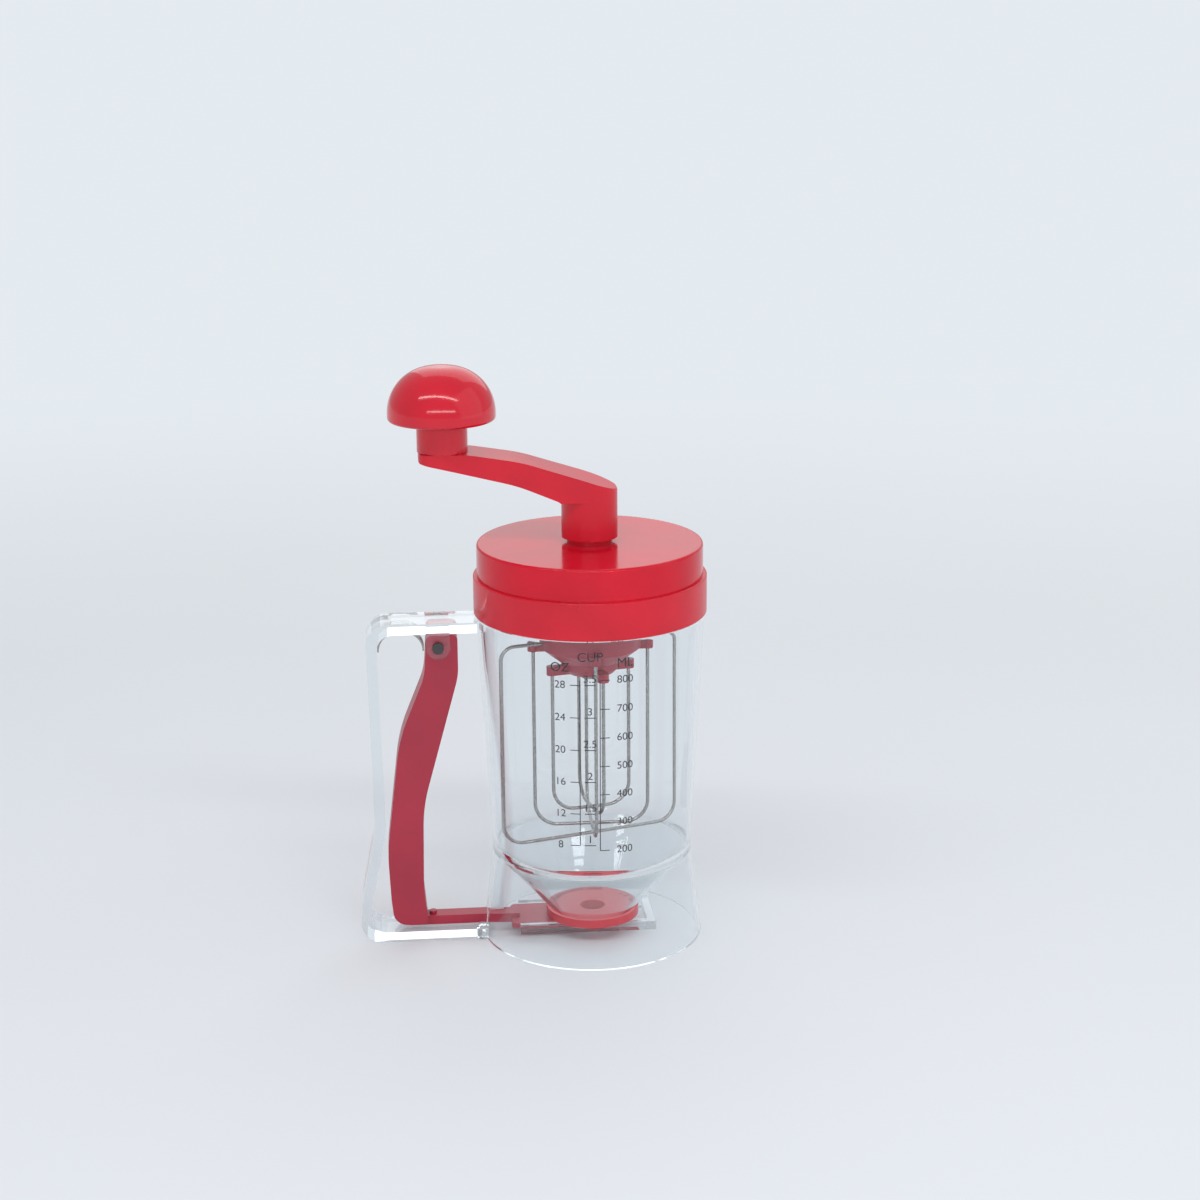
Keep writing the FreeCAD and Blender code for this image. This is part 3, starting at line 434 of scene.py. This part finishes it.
def text_outline(text, size):
    """A flat mesh of a text, centred on its origin."""
    curve = bpy.data.curves.new("scale_text", "FONT")
    curve.body = text
    curve.size = size
    curve.align_x = "CENTER"
    curve.align_y = "CENTER"
    carrier = bpy.data.objects.new("scale_text", curve)
    bpy.context.scene.collection.objects.link(carrier)
    bpy.context.view_layer.update()
    graph = bpy.context.evaluated_depsgraph_get()
    mesh = bpy.data.meshes.new_from_object(carrier.evaluated_get(graph))
    bpy.data.objects.remove(carrier)
    bpy.data.curves.remove(curve)
    return mesh


def add_text(form, text, across, height, size):
    mesh = text_outline(text, size)
    first = len(form.verts)
    form.from_mesh(mesh)
    form.verts.ensure_lookup_table()
    for vertex in form.verts[first:]:
        vertex.co.x += across
        vertex.co.y += height
    bpy.data.meshes.remove(mesh)


def add_bar(form, west, east, bottom, top):
    """A printed bar in short pieces, so that it can follow the round wall."""
    steps = max(1, int(max(east - west, top - bottom) / BAR_STEP))
    upright = top - bottom > east - west
    for step in range(steps):
        low = step / steps
        high = (step + 1) / steps
        if upright:
            spans = (west, east, bottom + (top - bottom) * low, bottom + (top - bottom) * high)
        else:
            spans = (west + (east - west) * low, west + (east - west) * high, bottom, top)
        corners = [(spans[0], spans[2], 0), (spans[1], spans[2], 0),
                   (spans[1], spans[3], 0), (spans[0], spans[3], 0)]
        form.faces.new([form.verts.new(corner) for corner in corners])


def add_scale():
    """Ounces on the left, cups between the lines and millilitres on the right."""
    form = bmesh.new()
    half = SCALE_LINE / 2
    top = MARK_BOTTOM + MARK_STEP * (MARKS - 1)
    add_bar(form, OUNCE_LINE - half, OUNCE_LINE + half, MARK_BOTTOM + OUNCE_DROP, top)
    add_bar(form, MILLILITRE_LINE - half, MILLILITRE_LINE + half, MARK_BOTTOM, top)
    for mark in range(MARKS):
        height = MARK_BOTTOM + MARK_STEP * mark
        east = MILLILITRE_LINE + TICK_SHOWN
        add_bar(form, MILLILITRE_LINE, east, height - half, height + half)
        millilitres = FIRST_MILLILITRES + MILLILITRES_PER_MARK * mark
        add_text(form, str(millilitres), MILLILITRE_NUMBERS, height, NUMBER_SIZE)
    for mark in range(MARKS - 1):
        height = MARK_BOTTOM + OUNCE_DROP + OUNCE_STEP * mark
        add_bar(form, OUNCE_LINE - TICK_SHOWN, OUNCE_LINE, height - half, height + half)
        ounces = FIRST_OUNCES + OUNCES_PER_MARK * mark
        add_text(form, str(ounces), OUNCE_NUMBERS, height, NUMBER_SIZE)
        cups = FIRST_CUPS + CUPS_PER_MARK * mark
        add_text(form, f"{cups:g}", 0.0, height + CUP_RISE, NUMBER_SIZE)
        add_bar(form, -CUP_TICK, CUP_TICK, height - half, height + half)
    add_text(form, "OZ", OUNCE_NUMBERS, top + OUNCE_HEADER_RISE, HEADER_SIZE)
    add_text(form, "CUP", 0.0, top + CUP_HEADER_RISE, HEADER_SIZE)
    add_text(form, "ML", MILLILITRE_NUMBERS, top + MILLILITRE_HEADER_RISE, HEADER_SIZE)
    bmesh.ops.triangulate(form, faces=form.faces[:])
    for vertex in form.verts:
        vertex.co = wrap_on_jar(vertex.co.x, vertex.co.y)
    piece = new_piece("scale_print", form, MATERIALS["ink"])
    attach(piece, "jar")


# Foot lug

LUG_RADIUS = 3.0 * MM
LUG_HEIGHT = 7.4 * MM
LUG_SPOT = (-54.0 * MM, -9.6 * MM)
LUG_SIDES = 40
LUG_ROUND = LUG_RADIUS * 0.35
LUG_ROUND_STEPS = 5


def add_foot_lug():
    """A small clear lug with rounded ends where the handle's bottom bar meets the skirt."""
    form = bmesh.new()
    bmesh.ops.create_cone(form, cap_ends=True, segments=LUG_SIDES, radius1=LUG_RADIUS,
                          radius2=LUG_RADIUS, depth=LUG_HEIGHT)
    rims = [edge for edge in form.edges if abs(edge.verts[0].co.z - edge.verts[1].co.z) < MM]
    bmesh.ops.bevel(form, geom=rims, offset=LUG_ROUND, segments=LUG_ROUND_STEPS, profile=0.5,
                    affect="EDGES")
    bmesh.ops.translate(form, verts=form.verts[:], vec=(*LUG_SPOT, LUG_HEIGHT / 2))
    piece = new_piece("foot_lug", form, MATERIALS["clear_thick"])
    for face in piece.data.polygons:
        face.use_smooth = True
    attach(piece, "jar")


finish_nodes()
add_camera()
add_world()
add_floor()
add_scale()
add_foot_lug()
add_lamps()

bpy.context.scene.view_settings.view_transform = "Standard"
